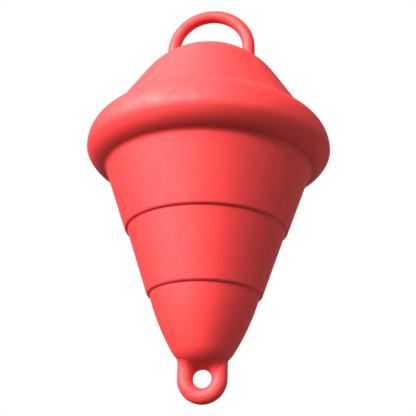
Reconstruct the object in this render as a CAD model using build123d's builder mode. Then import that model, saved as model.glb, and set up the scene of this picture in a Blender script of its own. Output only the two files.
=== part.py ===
from build123d import *

import os
from math import asin, cos, degrees, radians, sin, sqrt, tan

# Conical marker buoy, moulded in polyethylene and filled with foam: millimetres and degrees.
# z = 0 is the waterline, at the collar's widest circle. Handle and eye lie in the XZ plane.
# Every slope is measured down from level. A moulding is solid here, its skin and its foam together.

# Fits between the mouldings
fit_gap = 0.3           # gap round whatever is seated in or on another piece
spigot_rim = 12.0       # seat that is left round a spigot
spigot_length = 14.0    # how far a spigot stands into its neighbour
lap_length = 14.0       # how far a tier stands up into the one above it

# Collar: a thick rounded ring round the top of the cone
rim_upper = 43.3        # round of the rim above the waterline
shoulder_slope = 36.8
shoulder_length = 16.0  # straight stretch from the rim up to the crown
rim_lower = 18.9        # tighter round just below the waterline
belly_slope = 65.9      # where that round passes into the belly
belly_round = 40.2      # underside of the ring
belly_end_slope = 16.7  # where the underside runs into the cone
armpit_round = 9.2      # hollow between the underside and the cone
skirt_length = 14.0     # how far the collar runs down the cone

# Crown: a ball on a straight flank that sweeps out into the collar's shoulder
crown_ball = 109.4      # radius of the top
crown_slope = 56.6      # the flank
crease_round = 14.0     # hollow between the flank and the shoulder

# Cone: three stepped tiers, each lapping over the next
cone_top_radius = 133.2     # where the cone meets the ring's underside
upper_height = 83.1         # from there down to the upper tier's lip
upper_lip_radius = 104.1
middle_height = 85.6        # from lip to lip
middle_lip_radius = 72.2
lip_step = 3.1          # how far a tier stands in from the lip above it
lip_round = 2.6         # rounded outer edge of a lip
nose_height = 89.2      # from the middle tier's lip down to the flat bottom
nose_foot_radius = 26.8 # where the side would meet the flat, but for the round between them
nose_bulge = 4.0        # how far the side bows out of a straight line
tip_round = 38.0        # round between the side and the flat

# Carrying handle: a round bar bent to a half circle, its legs set in two feet on the crown
handle_bend = 51.8      # radius of the bend's centreline
handle_bar = 8.4        # radius of the bar
handle_leg = 5.0        # straight stretch between a foot and the bend
foot_round = 5.0        # hollow where a foot grows out of the crown
peg_radius = 6.0        # ends of the bar, pegged into the feet
peg_reach = 22.0

# Mooring eye: a round bar bent to a U under the nose, closed by a web
eye_hole = 11.4         # radius of the hole
eye_bar = 9.9           # radius of the bar
eye_land = 10.0         # length of the hole's straight wall, and thickness of the web
eye_web = 2.8           # height of the web between the hole and the nose
stem_radius = 6.5       # stem pegged into the nose
stem_reach = 11.0

# Filler plug at the apex
plug_radius = 14.0
plug_head_radius = 18.0
plug_head = 2.6         # thickness of the head
plug_chamfer = 0.8
plug_seat = 1.8         # depth of the flat that the head sits in
plug_reach = 9.0

# The cone carries the ring: its underside and lower round lead out to the widest circle, at z = 0
belly_z = (belly_round - rim_lower) * cos(radians(belly_slope))
cone_top_z = belly_z - belly_round * cos(radians(belly_end_slope))
belly_r = cone_top_radius + belly_round * (sin(radians(belly_slope)) - sin(radians(belly_end_slope)))
collar_radius = belly_r + rim_lower * (1 - sin(radians(belly_slope)))

# Shoulder of the collar, from the rim up to the crease under the crown
shoulder_end_r = collar_radius - rim_upper * (1 - sin(radians(shoulder_slope)))
shoulder_end_z = rim_upper * cos(radians(shoulder_slope))
crease_r = shoulder_end_r - shoulder_length * cos(radians(shoulder_slope))
crease_z = shoulder_end_z + shoulder_length * sin(radians(shoulder_slope))

# The crown's flank is tangent to its ball, and a round hollow joins it to the shoulder at the seam
crease_run = crease_round * tan(radians((crown_slope - shoulder_slope) / 2))
flank_length = (crease_r - crown_ball * sin(radians(crown_slope))) / cos(radians(crown_slope))
ball_z = crease_z + flank_length * sin(radians(crown_slope)) - crown_ball * cos(radians(crown_slope))
crown_height = ball_z + crown_ball
crown_seam_r = crease_r + crease_run * cos(radians(shoulder_slope))
crown_seam_z = crease_z - crease_run * sin(radians(shoulder_slope))
crown_spigot_r = crown_seam_r - spigot_rim

# Cone: the skirt of the collar ends in line with the upper tier, and each lip covers the next tier's top
skirt_z = cone_top_z - skirt_length
skirt_radius = cone_top_radius - skirt_length * (cone_top_radius - upper_lip_radius) / upper_height
upper_spigot_r = skirt_radius - spigot_rim
upper_lip_z = cone_top_z - upper_height
middle_top_radius = upper_lip_radius - lip_step
middle_top_z = upper_lip_z + lap_length
middle_lip_z = upper_lip_z - middle_height
nose_top_radius = middle_lip_radius - lip_step
nose_top_z = middle_lip_z + lap_length
nose_bottom_z = middle_lip_z - nose_height

# A foot of the handle ends just above the hollow round it, which is tallest on the side of the apex
foot_inner_r = handle_bend - handle_bar
foot_tilt = degrees(asin(foot_inner_r / crown_ball))
foot_hollow = foot_round / tan(radians((90 - foot_tilt) / 2))
foot_top_z = ball_z + sqrt(crown_ball**2 - foot_inner_r**2) + foot_hollow + fit_gap
handle_spring_z = foot_top_z + handle_leg
handle_height = handle_spring_z + handle_bend

# Seats of the eye and the plug
eye_z = nose_bottom_z - eye_web - eye_hole
eye_bend = eye_hole + eye_bar
eye_top_z = nose_bottom_z + tip_round
plug_seat_z = crown_height - plug_seat


def nose_side(gap):
    """outline of the nose, moved out by a gap, from the lip above it to the middle of the flat bottom"""
    foot = (nose_foot_radius + gap, nose_bottom_z)
    with BuildLine() as outline:
        SagittaArc((nose_top_radius + gap, middle_lip_z), foot, nose_bulge)
        Line(foot, (0, nose_bottom_z))
        fillet(outline.vertices().sort_by_distance(foot)[0], tip_round)
    return outline.line


with BuildPart() as crown:
    with BuildSketch(Plane.YZ):
        with BuildLine():
            cap = JernArc((0, crown_height), (1, 0), crown_ball, -crown_slope)
            flank = PolarLine(cap @ 1, flank_length - crease_run, direction=cap % 1)
            hollow = JernArc(flank @ 1, flank % 1, crease_round, crown_slope - shoulder_slope)
            Polyline(
                hollow @ 1,
                (crown_spigot_r, crown_seam_z),
                (crown_spigot_r, crown_seam_z - spigot_length),
                (0, crown_seam_z - spigot_length),
                (0, crown_height),
            )
        make_face()
    revolve(axis=Axis.Z)
    with Locations((handle_bend, 0, ball_z), (-handle_bend, 0, ball_z)):
        Cylinder(handle_bar, foot_top_z - ball_z, align=(Align.CENTER, Align.CENTER, Align.MIN))
    round_feet = crown.edges(Select.LAST).filter_by(GeomType.BSPLINE)
    fillet(round_feet, foot_round)
    with Locations((handle_bend, 0, foot_top_z), (-handle_bend, 0, foot_top_z)):
        Hole(peg_radius + fit_gap, depth=peg_reach + fit_gap)
    with Locations((0, 0, crown_height)):
        plug_hole = plug_seat + plug_reach + fit_gap
        CounterBoreHole(plug_radius + fit_gap, plug_head_radius + fit_gap, plug_seat, depth=plug_hole)

with BuildPart() as collar:
    with BuildSketch(Plane.YZ):
        with BuildLine():
            shoulder = Line((crown_seam_r, crown_seam_z), (shoulder_end_r, shoulder_end_z))
            rim_top = JernArc(shoulder @ 1, shoulder % 1, rim_upper, shoulder_slope - 90)
            rim_bottom = JernArc(rim_top @ 1, rim_top % 1, rim_lower, belly_slope - 90)
            belly = JernArc(rim_bottom @ 1, rim_bottom % 1, belly_round, belly_end_slope - belly_slope)
            skirt = Line(belly @ 1, (skirt_radius, skirt_z))
            fillet(skirt.vertices().sort_by(Axis.Y)[-1], armpit_round)
            Polyline(
                skirt @ 1,
                (upper_spigot_r + fit_gap, skirt_z),
                (upper_spigot_r + fit_gap, skirt_z + spigot_length + fit_gap),
                (0, skirt_z + spigot_length + fit_gap),
                (0, crown_seam_z - spigot_length - fit_gap),
                (crown_spigot_r + fit_gap, crown_seam_z - spigot_length - fit_gap),
                (crown_spigot_r + fit_gap, crown_seam_z),
                shoulder @ 0,
            )
        make_face()
    revolve(axis=Axis.Z)

with BuildPart() as upper_tier:
    with BuildSketch(Plane.YZ) as section:
        with BuildLine():
            Polyline(
                (skirt_radius, skirt_z),
                (upper_lip_radius, upper_lip_z),
                (middle_top_radius + fit_gap, upper_lip_z),
                (middle_top_radius + fit_gap, middle_top_z),
                (0, middle_top_z),
                (0, skirt_z + spigot_length),
                (upper_spigot_r, skirt_z + spigot_length),
                (upper_spigot_r, skirt_z),
                close=True,
            )
        make_face()
        fillet(section.vertices().sort_by_distance((upper_lip_radius, upper_lip_z))[0], lip_round)
    revolve(axis=Axis.Z)

with BuildPart() as middle_tier:
    with BuildSketch(Plane.YZ) as section:
        with BuildLine():
            Polyline(
                (middle_top_radius, middle_top_z),
                (middle_top_radius, upper_lip_z),
                (middle_lip_radius, middle_lip_z),
                (nose_top_radius + fit_gap, middle_lip_z),
                (nose_top_radius + fit_gap, nose_top_z),
                (0, nose_top_z),
                (0, middle_top_z),
                close=True,
            )
        make_face()
        fillet(section.vertices().sort_by_distance((middle_lip_radius, middle_lip_z))[0], lip_round)
    revolve(axis=Axis.Z)

with BuildPart() as nose:
    with BuildSketch(Plane.YZ):
        with BuildLine():
            add(nose_side(0))
            Polyline(
                (0, nose_bottom_z),
                (0, nose_top_z),
                (nose_top_radius, nose_top_z),
                (nose_top_radius, middle_lip_z),
            )
        make_face()
    revolve(axis=Axis.Z)
    with Locations(Location((0, 0, nose_bottom_z), (180, 0, 0))):
        Hole(stem_radius + fit_gap, depth=stem_reach + fit_gap)

with BuildPart() as carry_handle:
    with BuildLine(Plane.XZ) as bar:
        bend = CenterArc((0, handle_spring_z), handle_bend, 0, 180)
        Line((handle_bend, foot_top_z), bend @ 0)
        Line(bend @ 1, (-handle_bend, foot_top_z))
    with BuildSketch(Plane.XY.offset(foot_top_z)):
        with Locations((handle_bend, 0)):
            Circle(handle_bar)
    sweep(path=bar.wires()[0])
    with Locations((handle_bend, 0, foot_top_z), (-handle_bend, 0, foot_top_z)):
        Cylinder(peg_radius, peg_reach, align=(Align.CENTER, Align.CENTER, Align.MAX))

with BuildPart() as mooring_eye:
    with BuildLine(Plane.XZ) as loop:
        bend = CenterArc((0, eye_z), eye_bend, 180, 180)
        Line((-eye_bend, eye_top_z), bend @ 0)
        Line(bend @ 1, (eye_bend, eye_top_z))
    with BuildSketch(Plane.XY.offset(eye_top_z)):
        with Locations((-eye_bend, 0)):
            Circle(eye_bar)
    sweep(path=loop.wires()[0])
    with Locations(Location((0, 0, eye_z), (90, 0, 0))):
        Cylinder(eye_bend, eye_land)
    with Locations((0, 0, eye_z)):
        Box(2 * eye_bend, eye_land, eye_top_z - eye_z, align=(Align.CENTER, Align.CENTER, Align.MIN))
    with BuildSketch(Plane.YZ):
        with BuildLine():
            add(nose_side(fit_gap))
            Polyline((0, nose_bottom_z), (0, middle_lip_z), (nose_top_radius + fit_gap, middle_lip_z))
        make_face()
    revolve(axis=Axis.Z, mode=Mode.SUBTRACT)
    with Locations((0, 0, nose_bottom_z)):
        Cylinder(stem_radius, stem_reach, align=(Align.CENTER, Align.CENTER, Align.MIN))
    with Locations(Location((0, eye_bar, eye_z), (-90, 0, 0))):
        Hole(eye_hole, depth=2 * eye_bar)

with BuildPart() as filler_plug:
    with Locations((0, 0, plug_seat_z)):
        Cylinder(plug_head_radius, plug_head, align=(Align.CENTER, Align.CENTER, Align.MIN))
        Cylinder(plug_radius, plug_reach, align=(Align.CENTER, Align.CENTER, Align.MAX))
    chamfer(filler_plug.edges().filter_by(GeomType.CIRCLE).group_by(Axis.Z)[-1], plug_chamfer)

pieces = {
    "crown": crown,
    "collar": collar,
    "upper_tier": upper_tier,
    "middle_tier": middle_tier,
    "nose": nose,
    "carry_handle": carry_handle,
    "mooring_eye": mooring_eye,
    "filler_plug": filler_plug,
}

os.makedirs("parts", exist_ok=True)
for name, piece in pieces.items():
    piece.part.label = name
    export_step(piece.part, f"parts/{name}.step")
    print(name, len(piece.part.solids()), round(piece.part.volume / 1000, 1), "cm3")
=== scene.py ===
# Conical marker buoy in red moulded polyethylene, seen from below against white
import math

import bmesh
import bpy
import numpy as np
from mathutils import Matrix, Vector


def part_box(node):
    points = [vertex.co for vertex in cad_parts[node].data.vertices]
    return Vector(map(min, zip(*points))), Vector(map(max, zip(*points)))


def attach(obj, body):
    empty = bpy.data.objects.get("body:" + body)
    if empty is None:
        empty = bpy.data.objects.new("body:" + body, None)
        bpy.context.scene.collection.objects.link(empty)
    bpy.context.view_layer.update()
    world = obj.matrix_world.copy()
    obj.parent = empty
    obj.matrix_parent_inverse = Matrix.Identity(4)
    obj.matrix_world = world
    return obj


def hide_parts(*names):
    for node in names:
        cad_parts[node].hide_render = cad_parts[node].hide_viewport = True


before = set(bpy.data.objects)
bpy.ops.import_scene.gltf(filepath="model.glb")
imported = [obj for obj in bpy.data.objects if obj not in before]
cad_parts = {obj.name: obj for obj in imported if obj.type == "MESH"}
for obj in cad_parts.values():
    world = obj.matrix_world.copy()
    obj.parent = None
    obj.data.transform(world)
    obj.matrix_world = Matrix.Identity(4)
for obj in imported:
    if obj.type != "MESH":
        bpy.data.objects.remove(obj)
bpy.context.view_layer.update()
mm = 0.001


# Helpers for colours and shader nodes

def hexToLinear(code):
    # sRGB hex to the linear values that the shaders use
    parts = [int(code[i:i + 2], 16) / 255 for i in (1, 3, 5)]
    return [p / 12.92 if p <= 0.04045 else ((p + 0.055) / 1.055) ** 2.4 for p in parts] + [1.0]


def addNode(tree, kind, settings=None, links=None):
    # one node, its settings by name or by socket, and the sockets that feed it
    node = tree.nodes.new(kind)
    for key, value in (settings or {}).items():
        if isinstance(key, str) and hasattr(node, key):
            setattr(node, key, value)
        else:
            node.inputs[key].default_value = value
    for key, source in (links or {}).items():
        tree.links.new(source, node.inputs[key])
    return node


# Helpers for turned shapes: outlines are in mm and degrees, and are turned about Z

def outlineNormal(heading, turn):
    # the outside is on the left of an outline that runs from the top down
    up, a = math.radians(heading), math.radians(turn)
    return Vector((-math.sin(up) * math.cos(a), -math.sin(up) * math.sin(a), math.cos(up)))


def drawOutline(start, heading, steps):
    # half section as (radius, height, heading) from steps: "run" length, or "turn" radius and angle
    runPiece = 12.0     # length of the pieces of a straight run, mm
    arcPiece = 4.0      # longest piece of an arc, in degrees and in mm
    r, z = start
    outline = [(r, z, heading)]
    for kind, *sizes in steps:
        if kind == "run":
            length = sizes[0]
            parts = max(1, round(length / runPiece))
            for i in range(parts):
                r += length / parts * math.cos(math.radians(heading))
                z += length / parts * math.sin(math.radians(heading))
                outline.append((r, z, heading))
        else:
            radius, turn = sizes
            side = math.copysign(1, turn)
            centreR = r - side * radius * math.sin(math.radians(heading))
            centreZ = z + side * radius * math.cos(math.radians(heading))
            length = abs(math.radians(turn)) * radius
            parts = max(3, math.ceil(abs(turn) / arcPiece), math.ceil(length / arcPiece))
            for i in range(1, parts + 1):
                here = heading + turn * i / parts
                r = centreR + side * radius * math.sin(math.radians(here))
                z = centreZ - side * radius * math.cos(math.radians(here))
                outline.append((r, z, here))
            heading += turn
    return outline


def lineTo(outline, r, z):
    # straight on to a point, with a crisp corner at both ends
    lastR, lastZ, _ = outline[-1]
    heading = math.degrees(math.atan2(z - lastZ, r - lastR))
    outline += [(lastR, lastZ, heading), (r, z, heading)]


def newLathe(outline, segments=256):
    # bmesh of an outline turned about Z, with the exact normals kept on the corners of its faces
    noLength = 1e-6     # mm
    bm = bmesh.new()
    tag = bm.loops.layers.float_vector.new("normal")
    rings = []
    for i, (r, z, _) in enumerate(outline):
        if i and math.hypot(r - outline[i - 1][0], z - outline[i - 1][1]) < noLength:
            rings.append(rings[-1])
        elif r < noLength:
            rings.append([bm.verts.new((0, 0, z * mm))])
        else:
            angles = [2 * math.pi * k / segments for k in range(segments)]
            circle = [(r * mm * math.cos(a), r * mm * math.sin(a), z * mm) for a in angles]
            rings.append([bm.verts.new(p) for p in circle])
    for upper, lower, high, low in zip(rings, rings[1:], outline, outline[1:]):
        if upper is lower:
            continue
        for k in range(segments):
            corners = [(upper, k, high), (lower, k, low), (lower, k + 1, low), (upper, k + 1, high)]
            if len(upper) == 1:
                corners.pop()
            if len(lower) == 1:
                corners.pop(2)
            face = bm.faces.new([ring[n % len(ring)] for ring, n, _ in corners])
            for corner, (ring, n, point) in zip(face.loops, corners):
                turn = n if len(ring) > 1 else k + 0.5
                corner[tag] = outlineNormal(point[2], 360 * turn / segments)
    return bm


def finishMesh(name, bm):
    # bmesh to a piece, with the normals that were kept on its corners
    tag = bm.loops.layers.float_vector["normal"]
    normals = [corner[tag].copy() for face in bm.faces for corner in face.loops]
    for face in bm.faces:
        face.smooth = True
    mesh = bpy.data.meshes.new(name)
    bm.loops.layers.float_vector.remove(tag)
    bm.to_mesh(mesh)
    bm.free()
    mesh.normals_split_custom_set(normals)
    return linkPiece(name, mesh)


def linkPiece(name, mesh):
    piece = bpy.data.objects.new(name, mesh)
    bpy.context.scene.collection.objects.link(piece)
    return piece


def addStrip(bm, rows, normalRows):
    # closed rows of points in mm, joined by quads, with their normals; gives back the vertices
    tag = bm.loops.layers.float_vector["normal"]
    made = [[bm.verts.new(Vector(p) * mm) for p in row] for row in rows]
    count = len(made[0])
    for i in range(len(made) - 1):
        for k in range(count):
            spots = [(i, k), (i + 1, k), (i + 1, (k + 1) % count), (i, (k + 1) % count)]
            face = bm.faces.new([made[a][b] for a, b in spots])
            for corner, (a, b) in zip(face.loops, spots):
                corner[tag] = Vector(normalRows[a][b]).normalized()
    return made


def addCap(bm, ring, normal):
    tag = bm.loops.layers.float_vector["normal"]
    face = bm.faces.new(ring)
    for corner in face.loops:
        corner[tag] = normal


def topAndBottom(node):
    low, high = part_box(node)
    return high.z / mm, low.z / mm


def outerRadius(node):
    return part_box(node)[1].x / mm


# Helpers for blended shapes: distance fields in mm, negative inside

def roundUnion(a, b, radius):
    corner = np.hypot(np.maximum(radius - a, 0), np.maximum(radius - b, 0))
    return np.maximum(radius, np.minimum(a, b)) - corner


def roundCut(a, b, radius):
    corner = np.hypot(np.maximum(radius + a, 0), np.maximum(radius + b, 0))
    return np.minimum(-radius, np.maximum(a, b)) + corner


def slopeOf(field, points, reach=0.02, leastSlope=0.2):
    # outward direction of a field, with its steepness
    slope = np.empty_like(points)
    for axis in range(3):
        offset = np.zeros(3)
        offset[axis] = reach
        slope[:, axis] = (field(points + offset) - field(points - offset)) / (2 * reach)
    size = np.maximum(np.linalg.norm(slope, axis=1, keepdims=True), leastSlope)
    return slope / size, size


def skinOfField(name, field, look, low, high, step):
    # quads where the field is nought: one point in each cell that the surface crosses, drawn onto it
    rounds = 12         # of drawing the points onto the surface
    lookReach = 0.3     # the skin that lies within this of look takes its normals from it, mm
    low = np.array(low, float)
    counts = np.ceil((np.array(high, float) - low) / step).astype(int) + 1
    axes = [low[i] + step * np.arange(counts[i]) for i in range(3)]
    grid = np.stack(np.meshgrid(*axes, indexing="ij"), -1)
    inside = field(grid.reshape(-1, 3)).reshape(counts) < 0
    corners = sum(inside[i:counts[0] - 1 + i, j:counts[1] - 1 + j, k:counts[2] - 1 + k].astype(int)
                  for i in (0, 1) for j in (0, 1) for k in (0, 1))
    crossed = (corners > 0) & (corners < 8)
    index = -np.ones(crossed.shape, int)
    index[crossed] = np.arange(crossed.sum())
    points = low + step * (np.argwhere(crossed) + 0.5)
    for _ in range(rounds):
        direction, steepness = slopeOf(field, points)
        points -= direction * np.clip(field(points)[:, None] / steepness, -step, step)
    faces = []
    for axis in range(3):
        first, second = [(1, 2), (2, 0), (0, 1)][axis]
        here = np.take(inside, range(counts[axis] - 1), axis)
        there = np.take(inside, range(1, counts[axis]), axis)
        for place in np.argwhere(here != there):
            spots = [place.copy() for _ in range(4)]
            spots[1][first] -= 1
            spots[2][first] -= 1
            spots[2][second] -= 1
            spots[3][second] -= 1
            quad = [int(index[tuple(s)]) for s in spots]
            faces.append(quad if here[tuple(place)] else quad[::-1])
    mesh = bpy.data.meshes.new(name)
    mesh.from_pydata((points * mm).tolist(), [], faces)
    mesh.shade_smooth()
    close = np.abs(look(points)) < lookReach
    normals = np.where(close[:, None], slopeOf(look, points)[0], slopeOf(field, points)[0])
    mesh.normals_split_custom_set_from_vertices(normals.tolist())
    return linkPiece(name, mesh)


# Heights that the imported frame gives, in mm
seamZ, skirtZ = topAndBottom("collar")
upperLipZ = topAndBottom("upper_tier")[1]
middleLipZ = topAndBottom("middle_tier")[1]
noseBottomZ = topAndBottom("nose")[1]
footTopZ = topAndBottom("crown")[0]
handleTopZ = topAndBottom("carry_handle")[0]
plugTopZ = topAndBottom("filler_plug")[0]
print("stage: frame read, seam at", round(seamZ, 2), "skirt", round(skirtZ, 2), "foot", round(footTopZ, 2))

# Collar: shoulder, rim, belly, and the hollow that runs into the skirt of the cone
collarLook = {
    "shoulderSlope": 36.8,      # degrees from level
    "rimUpper": 43.3,           # radius of the rim above the waterline, mm
    "rimLower": 18.9,           # and below it
    "bellySlope": 60.5,         # where the rim passes into the belly
    "bellyRound": 40.2,
    "armpit": 9.2,              # radius of the hollow under the belly
    "skirt": 14.0,              # part of the cone that belongs to the collar
    "coneTop": 133.2,           # radius of the cone, if it ran on up to the top of the skirt
}
tierLook = {
    "upperHeight": 83.1,
    "upperLip": 104.1,          # radius at the upper tier's lip
    "middleLip": 72.2,
    "lipStep": 3.1,             # each tier starts this much inside the lip above it
    "lipUnder": 20.0,           # slope of a lip's underside, degrees
    "lipRound": 5.0,            # its soft outer edge
    "rootRound": 2.4,           # and the hollow where the next tier comes out
    "tuck": 5.5,                # how far a tier goes up behind the lip
    "groove": 0.1,              # room round the tucked-in top
    "headroom": 0.5,            # and above it
}
collarR = outerRadius("collar")
shoulderTilt = math.radians(collarLook["shoulderSlope"])
shoulderEndR = collarR - collarLook["rimUpper"] * (1 - math.sin(shoulderTilt))
shoulderEndZ = collarLook["rimUpper"] * math.cos(shoulderTilt)
shoulderRun = (seamZ - shoulderEndZ) / math.sin(shoulderTilt)
seamR = shoulderEndR - shoulderRun * math.cos(shoulderTilt)
coneSlope = math.degrees(math.atan2(tierLook["upperHeight"], collarLook["coneTop"] - tierLook["upperLip"]))


def armpitTouch():
    # slope at which the belly's arc gives way to the hollow's, which rests on the belly and on the cone
    tilt = math.radians(collarLook["bellySlope"])
    slope = math.radians(coneSlope)
    inner = collarLook["bellyRound"] - collarLook["rimLower"]
    belly = np.array([collarR - collarLook["rimLower"] - inner * math.sin(tilt), inner * math.cos(tilt)])
    along = np.array([-math.cos(slope), -math.sin(slope)])
    outward = np.array([math.sin(slope), -math.cos(slope)])
    onCone = np.array([collarLook["coneTop"], skirtZ + collarLook["skirt"]])
    start = onCone + outward * collarLook["armpit"] - belly
    shift = start @ along
    reach = (collarLook["bellyRound"] + collarLook["armpit"]) ** 2
    centre = start + along * (-shift + math.sqrt(shift * shift - start @ start + reach))
    return 90 - math.degrees(math.atan2(-centre[1], centre[0]))


def makeCollar():
    hollowSlope = armpitTouch()
    outline = [(0, seamZ, 0)]
    lineTo(outline, seamR, seamZ)
    outline += drawOutline((seamR, seamZ), -collarLook["shoulderSlope"], [
        ("run", shoulderRun),
        ("turn", collarLook["rimUpper"], collarLook["shoulderSlope"] - 90),
        ("turn", collarLook["rimLower"], collarLook["bellySlope"] - 90),
        ("turn", collarLook["bellyRound"], hollowSlope - collarLook["bellySlope"]),
        ("turn", collarLook["armpit"], coneSlope - hollowSlope),
    ])
    lastR, lastZ, _ = outline[-1]
    outline += drawOutline((lastR, lastZ), coneSlope - 180, [
        ("run", (lastZ - skirtZ) / math.sin(math.radians(coneSlope))),
    ])[1:]
    lowerR = outline[-1][0]
    lineTo(outline, 0, skirtZ)
    return finishMesh("collar_skin", newLathe(outline)), lowerR


collarSkin, skirtR = makeCollar()
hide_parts("collar")
print("stage: collar, its skirt ends at radius", round(skirtR, 2))

# Crown: ball, flank and hollow down to the seam, with the two feet of the handle
crownLook = {
    "ball": 109.4,              # radius of the top, mm
    "slope": 56.6,              # of the flank, degrees from level
    "hollow": 14.0,             # radius of the crease above the collar
    "seatRadius": 18.3,         # seat of the filler plug
    "seatDepth": 1.8,
    "footRound": 5.0,           # fillet round each foot of the handle
    "footRim": 1.5,             # of the ball that is meshed anew round a foot
    "footDepth": 0.1,           # down to here the ball's faces give way to a foot
}
handleLook = {
    "bend": 51.8,               # radius of the loop, to the middle of the bar
    "bar": 8.4,                 # radius of the bar
    "ringPoints": 48, "bendParts": 72,
}
hollowTurn = crownLook["slope"] - collarLook["shoulderSlope"]
hollowRun = crownLook["hollow"] * math.tan(math.radians(hollowTurn / 2))
creaseR = seamR - hollowRun * math.cos(shoulderTilt)
creaseZ = seamZ + hollowRun * math.sin(shoulderTilt)
crownTilt = math.radians(crownLook["slope"])
flankRun = (creaseR - crownLook["ball"] * math.sin(crownTilt)) / math.cos(crownTilt)
ballZ = creaseZ + flankRun * math.sin(crownTilt) - crownLook["ball"] * math.cos(crownTilt)
ballCentre = Vector((0, 0, ballZ))
seatZ = ballZ + crownLook["ball"] - crownLook["seatDepth"]


def footRows(axis, count=64, arcParts=10):
    # the bar's stub, and a rolling-ball fillet from it out onto the crown
    bar, ball, hollow = handleLook["bar"], crownLook["ball"], crownLook["footRound"]
    rows, normals = [[] for _ in range(arcParts + 2)], [[] for _ in range(arcParts + 2)]
    for k in range(count):
        a = 2 * math.pi * k / count
        out = Vector((math.cos(a), math.sin(a), 0))
        centre = axis + out * (bar + hollow)
        centre.z = ballZ + math.sqrt((ball + hollow) ** 2 - centre.x ** 2 - centre.y ** 2)
        touchBall = -(centre - ballCentre).normalized()
        rows[0].append(axis + out * bar + Vector((0, 0, footTopZ)))
        normals[0].append(out)
        for i in range(arcParts + 1):
            direction = (-out).slerp(touchBall, i / arcParts)
            rows[i + 1].append(centre + direction * hollow)
            normals[i + 1].append(-direction)
    return rows, normals


def addFoot(bm, side):
    # opens the ball round a foot, adds the foot, and closes the ring between them
    axis = Vector((side * handleLook["bend"], 0, 0))
    rows, normals = footRows(axis)
    ball = crownLook["ball"]
    footAxis = (axis + Vector((0, 0, math.sqrt(ball ** 2 - axis.x ** 2)))).normalized()

    def spread(p):
        return (p - ballCentre).angle(footAxis)

    clear = max(spread(p) for p in rows[-1]) + crownLook["footRim"] / ball

    def underFoot(p):
        return (p - ballCentre).length > ball - crownLook["footDepth"] and spread(p) < clear

    doomed = [face for face in bm.faces if any(underFoot(v.co / mm) for v in face.verts)]
    bmesh.ops.delete(bm, geom=doomed, context="FACES")
    made = addStrip(bm, rows, normals)
    addCap(bm, made[0], Vector((0, 0, 1)))
    rim = [e for e in bm.edges if e.is_boundary and e.verts[0].co.x * side > 0]
    filled = bmesh.ops.triangle_fill(bm, use_beauty=True, edges=rim, normal=footAxis)
    tag = bm.loops.layers.float_vector["normal"]
    for face in filled["geom"]:
        if isinstance(face, bmesh.types.BMFace):
            for corner in face.loops:
                corner[tag] = (corner.vert.co / mm - ballCentre).normalized()


def makeCrown():
    seatTilt = math.degrees(math.asin(crownLook["seatRadius"] / crownLook["ball"]))
    seatRimZ = ballZ + crownLook["ball"] * math.cos(math.radians(seatTilt))
    outline = [(0, seatZ, 0)]
    lineTo(outline, crownLook["seatRadius"], seatZ)
    lineTo(outline, crownLook["seatRadius"], seatRimZ)
    outline += drawOutline((crownLook["seatRadius"], seatRimZ), -seatTilt, [
        ("turn", crownLook["ball"], seatTilt - crownLook["slope"]),
        ("run", flankRun - hollowRun),
        ("turn", crownLook["hollow"], hollowTurn),
    ])
    lineTo(outline, 0, seamZ)
    bm = newLathe(outline)
    for side in (-1, 1):
        addFoot(bm, side)
    return finishMesh("crown_skin", bm)


crownSkin = makeCrown()
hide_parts("crown")
print("stage: crown", len(crownSkin.data.polygons), "faces")


# Tiers of the cone: each closes with a soft lip, and the next one starts in the hollow under it
def startUnderLip(cornerR, lipZ, slope):
    # the tucked-in top, then the hollow that turns from the lip's underside down into the tier's side
    radius, under = tierLook["rootRound"], tierLook["lipUnder"]
    reach = radius * math.tan(math.radians((slope - under) / 2))
    startR = cornerR + reach * math.cos(math.radians(under))
    startZ = lipZ + reach * math.sin(math.radians(under))
    outline = [(0, lipZ + tierLook["tuck"], 0)]
    lineTo(outline, cornerR, lipZ + tierLook["tuck"])
    lineTo(outline, cornerR, startZ)
    lineTo(outline, startR, startZ)
    outline += drawOutline((startR, startZ), under - 180, [("turn", radius, slope - under)])
    return outline, reach


def closeWithLip(outline, slope, lipR, lipZ, innerR):
    # down the side, round the lip, and in under it as far as the next tier
    under, fall = math.radians(tierLook["lipUnder"]), math.radians(slope)
    underRun = (lipR - innerR) / (math.cos(under) - math.sin(under) / math.tan(fall))
    edgeZ = lipZ + underRun * math.sin(under)
    reach = tierLook["lipRound"] * math.tan((fall - under) / 2)
    lastR, lastZ, _ = outline[-1]
    outline += drawOutline((lastR, lastZ), slope - 180, [
        ("run", (lastZ - edgeZ) / math.sin(fall) - reach),
        ("turn", tierLook["lipRound"], tierLook["lipUnder"] - slope),
        ("run", underRun - reach),
    ])[1:]
    pocketZ = lipZ + tierLook["tuck"] + tierLook["headroom"]
    lineTo(outline, innerR, pocketZ)
    lineTo(outline, 0, pocketZ)


middleTopR = tierLook["upperLip"] - tierLook["lipStep"]
noseTopR = tierLook["middleLip"] - tierLook["lipStep"]


def makeUpperTier():
    outline = [(0, skirtZ, 0)]
    lineTo(outline, skirtR, skirtZ)
    outline.append((skirtR, skirtZ, coneSlope - 180))
    closeWithLip(outline, coneSlope, tierLook["upperLip"], upperLipZ, middleTopR + tierLook["groove"])
    return finishMesh("upper_tier_skin", newLathe(outline))


def makeMiddleTier():
    slope = math.degrees(math.atan2(upperLipZ - middleLipZ, middleTopR - tierLook["middleLip"]))
    outline, _ = startUnderLip(middleTopR, upperLipZ, slope)
    closeWithLip(outline, slope, tierLook["middleLip"], middleLipZ, noseTopR + tierLook["groove"])
    return finishMesh("middle_tier_skin", newLathe(outline))


upperSkin, middleSkin = makeUpperTier(), makeMiddleTier()
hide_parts("upper_tier")
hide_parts("middle_tier")

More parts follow.
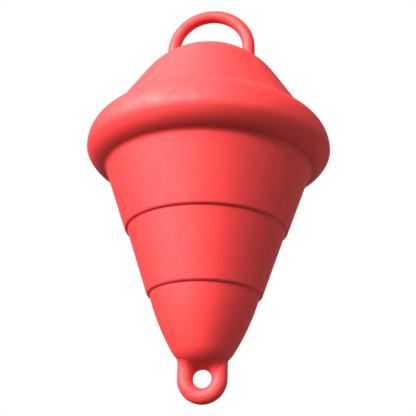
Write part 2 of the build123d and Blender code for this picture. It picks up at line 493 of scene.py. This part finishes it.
# Nose: a slightly bowed side, rounded into the flat bottom
noseLook = {
    "height": 89.2,             # of the side, if it ran on down to the foot
    "foot": 26.8,               # its radius there
    "bulge": 4.0,               # how far the side bows out
    "tipRound": 38.0,
}
chord = math.hypot(noseTopR - noseLook["foot"], noseLook["height"])
bowRadius = (chord / 2) ** 2 / (2 * noseLook["bulge"]) + noseLook["bulge"] / 2
bowAngle = math.degrees(math.asin(chord / 2 / bowRadius))
bowHeading = bowAngle - 180 + math.degrees(math.atan2(noseLook["height"], noseTopR - noseLook["foot"]))
bowCentre = np.array([
    noseTopR + bowRadius * math.sin(math.radians(bowHeading)),
    middleLipZ - bowRadius * math.cos(math.radians(bowHeading))])
tipZ = noseBottomZ + noseLook["tipRound"]
tipR = bowCentre[0] + math.sqrt((bowRadius - noseLook["tipRound"]) ** 2 - (tipZ - bowCentre[1]) ** 2)
tipHeading = -90 - math.degrees(math.atan2(bowCentre[1] - tipZ, tipR - bowCentre[0]))


def makeNose():
    outline, reach = startUnderLip(noseTopR, middleLipZ, bowHeading + 180)
    onBow = bowHeading - math.degrees(reach / bowRadius)
    outline += drawOutline(outline[-1][:2], onBow, [
        ("turn", bowRadius, tipHeading - onBow),
        ("turn", noseLook["tipRound"], -180 - tipHeading),
    ])[1:]
    lineTo(outline, 0, noseBottomZ)
    return finishMesh("nose_skin", newLathe(outline))


noseSkin = makeNose()
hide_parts("nose")
print("stage: tiers and nose")


# Carrying handle: round bar up from one foot, over and down to the other
def makeHandle():
    bm = bmesh.new()
    bm.loops.layers.float_vector.new("normal")
    bend, bar = handleLook["bend"], handleLook["bar"]
    springZ = handleTopZ - bend - bar
    legs = [footTopZ, (footTopZ + springZ) / 2]
    stations = [(Vector((bend, 0, z)), Vector((0, 0, 1))) for z in legs]
    for i in range(handleLook["bendParts"] + 1):
        a = math.pi * i / handleLook["bendParts"]
        stations.append((Vector((bend * math.cos(a), 0, springZ + bend * math.sin(a))),
                         Vector((-math.sin(a), 0, math.cos(a)))))
    stations += [(Vector((-bend, 0, z)), Vector((0, 0, -1))) for z in reversed(legs)]
    sideways = Vector((0, 1, 0))
    rows, normals = [], []
    for place, ahead in stations:
        across = sideways.cross(ahead)
        angles = [-2 * math.pi * k / handleLook["ringPoints"] for k in range(handleLook["ringPoints"])]
        ring = [across * math.cos(a) + sideways * math.sin(a) for a in angles]
        rows.append([place + n * bar for n in ring])
        normals.append(ring)
    made = addStrip(bm, rows, normals)
    addCap(bm, made[0], Vector((0, 0, -1)))
    addCap(bm, made[-1][::-1], Vector((0, 0, -1)))
    return finishMesh("carry_handle_skin", bm)


handleSkin = makeHandle()
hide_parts("carry_handle")

# Filler plug: a shallow cap in its seat, with the small dimple of its moulding gate
plugLook = {
    "edge": 1.2,                # rounding of the outer edge
    "dimple": 3.0, "dimpleDepth": 0.6, "dimpleSlope": 35.0, "dimpleRound": 1.0,
}


def makePlug():
    radius = outerRadius("filler_plug")
    edge, slope = plugLook["edge"], plugLook["dimpleSlope"]
    soften = plugLook["dimpleRound"] * math.tan(math.radians(slope / 2))
    side = plugLook["dimpleDepth"] / math.sin(math.radians(slope)) - 2 * soften
    outline = drawOutline((0, plugTopZ - plugLook["dimpleDepth"]), 0, [
        ("run", plugLook["dimple"]),
        ("turn", plugLook["dimpleRound"], slope),
        ("run", side),
        ("turn", plugLook["dimpleRound"], -slope),
    ])
    lineTo(outline, radius - edge, plugTopZ)
    outline += drawOutline((radius - edge, plugTopZ), 0, [
        ("turn", edge, -90),
        ("run", plugTopZ - edge - seatZ),
    ])[1:]
    lineTo(outline, 0, seatZ)
    return finishMesh("filler_plug_skin", newLathe(outline, segments=128))


plugSkin = makePlug()
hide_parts("filler_plug")
print("stage: handle and plug")

# Mooring eye: a U of round bar that runs softly into the nose, which is let down between the bars as far
# as the hole
eyeLook = {
    "hole": 11.4, "bar": 9.9,   # radii
    "web": 2.8,                 # from the hole up to the nose
    "webAcross": 16.0,          # reach of the let-down part, across and through the hole
    "webThrough": 7.5,
    "mouth": 0.8,               # rounding where the hole cuts into it
    "frontRound": 12.0,         # hollow between eye and nose, in front and behind
    "sideRound": 3.0,           # and where the bars come out at the sides
    "sideFrom": 16.0, "sideTo": 30.0,
    "blendShare": 0.95,         # part of a hollow's radius that the skin covers
    "sunk": 2.0,                # how far the skin goes on inside the nose
    "grid": 0.9,
    # room for the skin round the bars, and above the nose's bottom
    "roomAcross": 12.0, "roomThrough": 14.0, "roomBelow": 2.0, "roomAbove": 60.0,
}
eyeZ = noseBottomZ - eyeLook["web"] - eyeLook["hole"]
eyeBend = eyeLook["hole"] + eyeLook["bar"]


def noseField(p):
    # distance to the nose: flat bottom, rounded tip, bowed side
    r, z = np.hypot(p[:, 0], p[:, 1]), p[:, 2]
    side = np.hypot(r - bowCentre[0], z - bowCentre[1]) - bowRadius
    tip = np.hypot(r - tipR, z - tipZ) - noseLook["tipRound"]
    onSide = np.arctan2(z - tipZ, r - tipR) > math.atan2(tipZ - bowCentre[1], tipR - bowCentre[0])
    return np.where(r < tipR, noseBottomZ - z, np.where(onSide, side, tip))


def barField(p):
    # distance to the U: two legs, and a bend below the hole's middle
    x, y, z = p.T
    loop = np.where(z < eyeZ, np.hypot(x, z - eyeZ), np.abs(x)) - eyeBend
    return np.hypot(loop, y) - eyeLook["bar"]


def webField(p):
    # distance to the nose, let down between the bars
    across, through = p[:, 0] / eyeLook["webAcross"], p[:, 1] / eyeLook["webThrough"]
    return noseField(p) - eyeLook["web"] * np.exp(-across ** 4 - through ** 2)


def blendRadius(p):
    # wide in front and behind, narrow at the sides
    start, end = eyeLook["sideFrom"], eyeLook["sideTo"]
    side = np.clip((np.abs(p[:, 0]) - start) / (end - start), 0, 1)
    side = side * side * (3 - 2 * side)
    return eyeLook["frontRound"] + (eyeLook["sideRound"] - eyeLook["frontRound"]) * side


def joinedField(p):
    # bars and nose run together, with the hole cut through them
    hole = eyeLook["hole"] - np.hypot(p[:, 0], p[:, 2] - eyeZ)
    joined = roundUnion(barField(p), webField(p), blendRadius(p))
    return roundCut(joined, hole, eyeLook["mouth"])


def trimmedField(p):
    # only what stands out of the nose, let a little into it
    nearBars = barField(p) - blendRadius(p) * eyeLook["blendShare"]
    nearWeb = np.hypot(p[:, 0], p[:, 1]) - eyeLook["webAcross"]
    standsOut = np.maximum(joinedField(p), np.minimum(nearBars, nearWeb))
    return np.maximum(standsOut, -eyeLook["sunk"] - noseField(p))


def makeEye():
    half = eyeBend + eyeLook["bar"]
    across, through = half + eyeLook["roomAcross"], eyeLook["bar"] + eyeLook["roomThrough"]
    low = (-across, -through, eyeZ - half - eyeLook["roomBelow"])
    high = (across, through, noseBottomZ + eyeLook["roomAbove"])
    return skinOfField("mooring_eye_skin", trimmedField, joinedField, low, high, eyeLook["grid"])


eyeSkin = makeEye()
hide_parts("mooring_eye")
print("stage: mooring eye", len(eyeSkin.data.polygons), "faces")

pieces = {
    "crown": crownSkin, "collar": collarSkin, "upper_tier": upperSkin, "middle_tier": middleSkin,
    "nose": noseSkin, "carry_handle": handleSkin, "mooring_eye": eyeSkin, "filler_plug": plugSkin,
}
for node, piece in pieces.items():
    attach(piece, "root")

# Low density polyethylene, coloured through and moulded against a blasted tool: satin, with a soft broad
# highlight, faintly cloudy in colour, and with the tool's fine grain and turned rings in its skin
plastic = {
    "red": "#CB1D1D", "deepRed": "#C51A1A", "paleRed": "#CA2020", "scuffed": "#CE3C39",
    "speckled": 0.25,           # how much the specks show, from 0 to 1
    "streaked": 0.4,            # and the streaks
    "worn": 0.12,               # and the scuffs
    "ior": 1.5, "specular": 0.69,
    "roughness": 0.70, "roughnessSpread": 0.06,
    "dulling": 0.15,            # how much rougher a scuff is
    # sizes of the patterns, mm
    "cloud": 38.0,              # slow change in the colour
    "speckle": 2.2,             # pigment, drawn coarser than the real 0.3 mm so that it shows
    "streak": 8.0,              # width of the marks that the melt leaves as it runs down the tool
    "patch": 64.6,              # places that get touched and scuffed
    "scratch": 5.0,
    "sheen": 14.0,              # slow change in the roughness
    "ripple": 14.0,             # slow unevenness from cooling
    "grain": 2.6,               # of the blasted tool, drawn coarser than the real 0.5 mm
    "ring": 1.9,                # pitch of the rings that turning left in the tool
    # their depths, mm
    "rippleDepth": 0.14, "grainDepth": 0.035, "ringDepth": 0.018, "scratchDepth": 0.02,
    "seamWidth": 0.5,           # flash where the tool's halves met, in the plane of handle and eye
    "seamDepth": 0.16,
}

# The noise behind each pattern: it counts from the first value of counts, and in full from the second. It
# is squeezed along x, y and z, or drawn out by less than 1, and leans by angles in radians
plainNoise = {"detail": 1, "counts": (0.0, 1.0), "squeeze": (1, 1, 1), "lean": (0, 0, 0)}
patterns = {
    "cloud": {"detail": 3, "counts": (0.30, 0.70)},
    "speckle": {"detail": 2, "counts": (0.35, 0.65)},
    "streak": {"detail": 2, "counts": (0.56, 0.70), "squeeze": (1, 1, 0.07)},
    "patch": {"counts": (0.48, 0.66)},
    "scratch": {"detail": 4, "counts": (0.60, 0.72), "squeeze": (1, 1, 7), "lean": (0.5, 0.35, 0)},
    "sheen": {"detail": 2, "counts": (0.30, 0.70)},
    "ripple": {},
    "grain": {"detail": 2},
    "ring": {"squeeze": (0.02, 0.02, 1)},
}


def mouldedPolyethylene(name, own):
    # own: what differs from piece to piece
    look = {**plastic, **own}
    material = bpy.data.materials.new(name)
    material.use_nodes = True
    tree = material.node_tree
    shader = tree.nodes["Principled BSDF"]
    shader.inputs["IOR"].default_value = look["ior"]
    shader.inputs["Specular IOR Level"].default_value = look["specular"]
    place = addNode(tree, "ShaderNodeTexCoord").outputs["Object"]
    shifted = addNode(tree, "ShaderNodeMapping", {"Location": (look["shift"], 0, 0)}, {"Vector": place})

    # how much each pattern counts at a place
    strength = {"speckle": look["speckled"], "streak": look["streaked"], "patch": look["worn"]}
    amount = {}
    for pattern, given in patterns.items():
        kind = {**plainNoise, **given}
        squeezed = addNode(tree, "ShaderNodeMapping", {"Scale": kind["squeeze"], "Rotation": kind["lean"]},
                           {"Vector": shifted.outputs["Vector"]})
        noise = addNode(tree, "ShaderNodeTexNoise",
                        {"Scale": 1 / (look[pattern] * mm), "Detail": kind["detail"]},
                        {"Vector": squeezed.outputs["Vector"]})
        low, high = kind["counts"]
        shown = addNode(tree, "ShaderNodeMapRange",
                        {"From Min": low, "From Max": high, "To Max": strength.get(pattern, 1.0)},
                        {"Value": noise.outputs["Fac"]})
        amount[pattern] = shown.outputs["Result"]
    amount["scuff"] = addNode(tree, "ShaderNodeMath", {"operation": "MULTIPLY"},
                              {0: amount["scratch"], 1: amount["patch"]}).outputs["Value"]

    # colour: clouds and pigment specks round the red, streaks along the axis, scuffs where it is touched
    tone = addNode(tree, "ShaderNodeMix",
                   {"data_type": "RGBA", 6: hexToLinear(look["deepRed"]), 7: hexToLinear(look["red"])},
                   {0: amount["cloud"]})
    for pattern, colour in (("speckle", "paleRed"), ("streak", "deepRed"), ("scuff", "scuffed")):
        tone = addNode(tree, "ShaderNodeMix", {"data_type": "RGBA", 7: hexToLinear(look[colour])},
                       {0: amount[pattern], 6: tone.outputs[2]})
    tree.links.new(tone.outputs[2], shader.inputs["Base Color"])

    # finish: satin, and a little duller in the scuffs
    smoothest = look["roughness"] - look["roughnessSpread"]
    satin = addNode(tree, "ShaderNodeMath",
                    {"operation": "MULTIPLY_ADD", 1: 2 * look["roughnessSpread"], 2: smoothest},
                    {0: amount["sheen"]})
    dulled = addNode(tree, "ShaderNodeMath", {"operation": "MULTIPLY_ADD", 1: look["dulling"]},
                     {0: amount["scuff"], 2: satin.outputs["Value"]})
    tree.links.new(dulled.outputs["Value"], shader.inputs["Roughness"])

    # skin: the flash line, then cooling ripple, tool grain, rings and scratches on top of it
    sideways = addNode(tree, "ShaderNodeSeparateXYZ", None, {"Vector": place}).outputs["Y"]
    fromSeam = addNode(tree, "ShaderNodeMath", {"operation": "ABSOLUTE"}, {0: sideways}).outputs["Value"]
    flash = {"From Max": look["seamWidth"] * mm, "To Min": look["seamDepth"] * mm, "To Max": 0.0}
    height = addNode(tree, "ShaderNodeMapRange", flash, {"Value": fromSeam}).outputs["Result"]
    for pattern, depth in (("ripple", look["rippleDepth"]), ("grain", look["grainDepth"]),
                           ("ring", look["ringDepth"]), ("scratch", -look["scratchDepth"])):
        height = addNode(tree, "ShaderNodeMath", {"operation": "MULTIPLY_ADD", 1: depth * mm},
                         {0: amount[pattern], 2: height}).outputs["Value"]
    bump = addNode(tree, "ShaderNodeBump", {"Strength": 1.0, "Distance": 1.0}, {"Height": height})
    tree.links.new(bump.outputs["Normal"], shader.inputs["Normal"])
    return material


# Handle, eye and plug: scuffed by hands and shackles, and from moulds that weren't turned
handled = {"streak": 6.0, "streaked": 0.2, "worn": 0.3, "scratch": 3.0, "ringDepth": 0.0}
# What differs from piece to piece; the shift, in metres, keeps the patterns of one piece from running on in
# the next
finishes = {
    "crown": {"shift": 0.1, "streak": 9.0, "streaked": 0.3, "worn": 0.15, "ringDepth": 0.0288},
    "collar": {"shift": 0.3, "streak": 12.0, "streaked": 0.25, "worn": 0.3, "scratch": 6.0,
               "ringDepth": 0.0126},
    "upper_tier": {"shift": 0.5},
    "middle_tier": {"shift": 0.7},
    "nose": {"shift": 0.9, "streak": 7.0, "worn": 0.2, "scratch": 4.0},
    "carry_handle": {**handled, "shift": 1.1},
    "mooring_eye": {**handled, "shift": 1.3, "worn": 0.4},
    "filler_plug": {**handled, "shift": 1.5, "speckled": 0.35, "streaked": 0.0, "seamDepth": 0.0},
}
for node, piece in pieces.items():
    piece.data.materials.append(mouldedPolyethylene("polyethylene_moulded_" + node, finishes[node]))
print("stage: materials")

# Camera: near the floor, looking up at the buoy
cameraLook = {
    "distance": 1.36, "below": 24.34, "roll": 1.57, "turn": 9.5,    # metres and degrees
    "aimX": 208.42, "aimY": 152.79,     # pixel on which the waterline's centre falls
    "focal": 1025.95,                   # in pixels
    "picture": 416, "sensor": 36,       # pixels and mm
    "farthest": 50,                     # metres that it sees
}


def placeCamera(look):
    # looks up at the waterline's centre, then swings until that falls on its pixel
    below, roll = math.radians(look["below"]), math.radians(look["roll"])
    ahead = Vector((0, math.cos(below), math.sin(below)))
    right = Vector((1, 0, 0))
    up = right.cross(ahead)
    tiltedX = right * math.cos(roll) + up * math.sin(roll)
    tiltedY = -right * math.sin(roll) + up * math.cos(roll)
    panX = math.atan((look["aimX"] - look["picture"] / 2) / look["focal"])
    panY = math.atan((look["aimY"] - look["picture"] / 2) / look["focal"])
    axisX = tiltedX * math.cos(panX) + ahead * math.sin(panX)
    level = -tiltedX * math.sin(panX) + ahead * math.cos(panX)
    axisY = tiltedY * math.cos(panY) - level * math.sin(panY)
    axisZ = -(tiltedY * math.sin(panY) + level * math.cos(panY))
    place = -ahead * look["distance"]
    rows = [[axisX[i], axisY[i], axisZ[i], place[i]] for i in range(3)]
    camera = bpy.data.objects.new("Camera", bpy.data.cameras.new("Camera"))
    bpy.context.scene.collection.objects.link(camera)
    turn = Matrix.Rotation(math.radians(look["turn"]), 4, "Z")
    camera.matrix_world = turn @ Matrix(rows + [[0, 0, 0, 1]])
    camera.data.sensor_width = look["sensor"]
    camera.data.lens = look["sensor"] * look["focal"] / look["picture"]
    camera.data.clip_end = look["farthest"]
    bpy.context.scene.camera = camera
    return camera


camera = placeCamera(cameraLook)

# Studio: a soft key from the upper left, weaker lights round it, and white behind
scene = bpy.context.scene
scene.view_settings.view_transform = "Standard"
scene.view_settings.look = "None"
surround = 0.117            # strength of the white as a light
# strength, size in degrees, and the direction that the light comes from
suns = {
    "key": (10.25, 34, (-0.634, -0.638, 0.437)),
    "front": (2.99, 12, (-0.188, -0.865, 0.466)),
    "back": (0.78, 14, (-0.295, 0.206, 0.933)),
    "low": (0.93, 150, (0.573, 0.561, -0.598)),
    "rim": (0.68, 24, (0.849, -0.463, 0.255)),
    "behind": (2.4, 4, (0.15, 0.90, 0.41)),     # along the view, so that it reaches only the far side
}
floorLook = {
    "colour": "#DEDEDC", "roughness": 0.9,
    "size": 8.0,                # metres
    "underCamera": 4.0,         # mm
}


def addSun(name, strength, size, direction):
    light = bpy.data.objects.new(name, bpy.data.lights.new(name, "SUN"))
    scene.collection.objects.link(light)
    light.data.energy = strength
    light.data.angle = math.radians(size)
    light.rotation_euler = Vector(direction).to_track_quat("Z", "Y").to_euler()
    light.visible_glossy = name != "behind"     # no glare along the outline


for name, values in suns.items():
    addSun(name, *values)


def whiteSurround(strength):
    # pure white for the camera, and much weaker as a light
    world = bpy.data.worlds.new("Studio")
    scene.world = world
    world.use_nodes = True
    tree = world.node_tree
    path = addNode(tree, "ShaderNodeLightPath")
    level = addNode(tree, "ShaderNodeMapRange", {"To Min": strength, "To Max": 1.0},
                    {"Value": path.outputs["Is Camera Ray"]})
    background = tree.nodes["Background"]
    background.inputs["Color"].default_value = (1, 1, 1, 1)
    tree.links.new(level.outputs["Result"], background.inputs["Strength"])


def makeFloor(z):
    # matt pale paint, left out of the light that falls on the buoy, and open to a view from underneath
    bpy.ops.mesh.primitive_plane_add(size=floorLook["size"], location=(0, 0, z))
    floor = bpy.context.object
    floor.name = "floor"
    floor.visible_diffuse = False
    floor.visible_glossy = False
    material = bpy.data.materials.new("floor_paint_matt")
    material.use_nodes = True
    tree = material.node_tree
    shader = tree.nodes["Principled BSDF"]
    shader.inputs["Base Color"].default_value = hexToLinear(floorLook["colour"])
    shader.inputs["Roughness"].default_value = floorLook["roughness"]
    under = addNode(tree, "ShaderNodeNewGeometry").outputs["Backfacing"]
    clear = addNode(tree, "ShaderNodeBsdfTransparent").outputs["BSDF"]
    mixed = addNode(tree, "ShaderNodeMixShader", None, {0: under, 1: shader.outputs["BSDF"], 2: clear})
    tree.links.new(mixed.outputs["Shader"], tree.nodes["Material Output"].inputs["Surface"])
    floor.data.materials.append(material)


whiteSurround(surround)
makeFloor(camera.matrix_world.translation.z - floorLook["underCamera"] * mm)
print("stage: camera, lights and floor")
